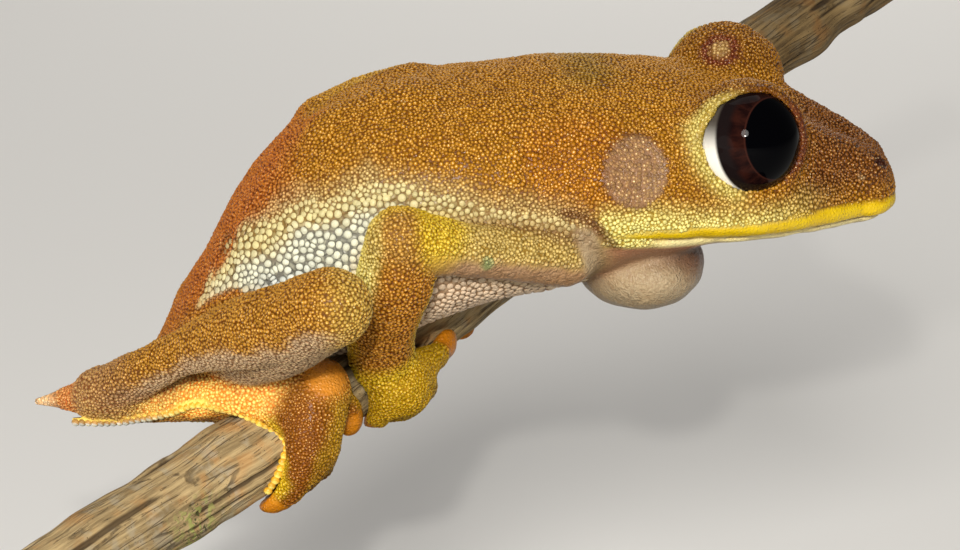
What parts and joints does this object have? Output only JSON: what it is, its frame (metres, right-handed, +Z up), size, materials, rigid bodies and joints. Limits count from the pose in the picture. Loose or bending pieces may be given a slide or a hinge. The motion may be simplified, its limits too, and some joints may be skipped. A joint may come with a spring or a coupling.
{
  "type": "pombals tree frog on a perch",
  "caption": "life-size still model of a granular golden-orange tree frog that grips a short cut branch, on a plain display stand",
  "frame": {"origin": "centre of the stand base's underside", "axes": "+X the way the frog's snout points, +Y the frog's left, +Z up; metres"},
  "size_m": [0.086, 0.0714, 0.0596],
  "materials": {
    "torso": "moist granular frog skin, cast in tinted silicone",
    "head": "moist granular frog skin, cast in tinted silicone",
    "lower_jaw": "moist granular frog skin, cast in tinted silicone",
    "throat_sac": "moist granular frog skin, cast in tinted silicone",
    "eye_right": "wet-looking glossy dark eye",
    "eye_left": "wet-looking glossy dark eye",
    "upper_arm_right": "moist granular frog skin, cast in tinted silicone",
    "upper_arm_left": "moist granular frog skin, cast in tinted silicone",
    "forearm_right": "moist granular frog skin, cast in tinted silicone",
    "forearm_left": "moist granular frog skin, cast in tinted silicone",
    "hand_right": "moist granular frog skin, cast in tinted silicone",
    "hand_left": "moist granular frog skin, cast in tinted silicone",
    "thigh_right": "moist granular frog skin, cast in tinted silicone",
    "thigh_left": "moist granular frog skin, cast in tinted silicone",
    "shank_right": "moist granular frog skin, cast in tinted silicone",
    "shank_left": "moist granular frog skin, cast in tinted silicone",
    "tarsus_right": "moist granular frog skin, cast in tinted silicone",
    "tarsus_left": "moist granular frog skin, cast in tinted silicone",
    "foot_right": "moist granular frog skin, cast in tinted silicone",
    "foot_left": "moist granular frog skin, cast in tinted silicone",
    "perch_branch": "weathered dead wood with thin bark",
    "stand_base": "satin black",
    "stand_rod": "brushed steel"
  },
  "bodies": {
    "root": {"torso": "torso", "head": "head", "lower_jaw": "lower_jaw", "throat_sac": "throat_sac", "eye_right": "eye_right", "eye_left": "eye_left", "upper_arm_right": "upper_arm_right", "upper_arm_left": "upper_arm_left", "forearm_right": "forearm_right", "forearm_left": "forearm_left", "hand_right": "hand_right", "hand_left": "hand_left", "thigh_right": "thigh_right", "thigh_left": "thigh_left", "shank_right": "shank_right", "shank_left": "shank_left", "tarsus_right": "tarsus_right", "tarsus_left": "tarsus_left", "foot_right": "foot_right", "foot_left": "foot_left", "perch_branch": "perch_branch", "stand_base": "stand_base", "stand_rod": "stand_rod"}
  },
  "joints": []
}
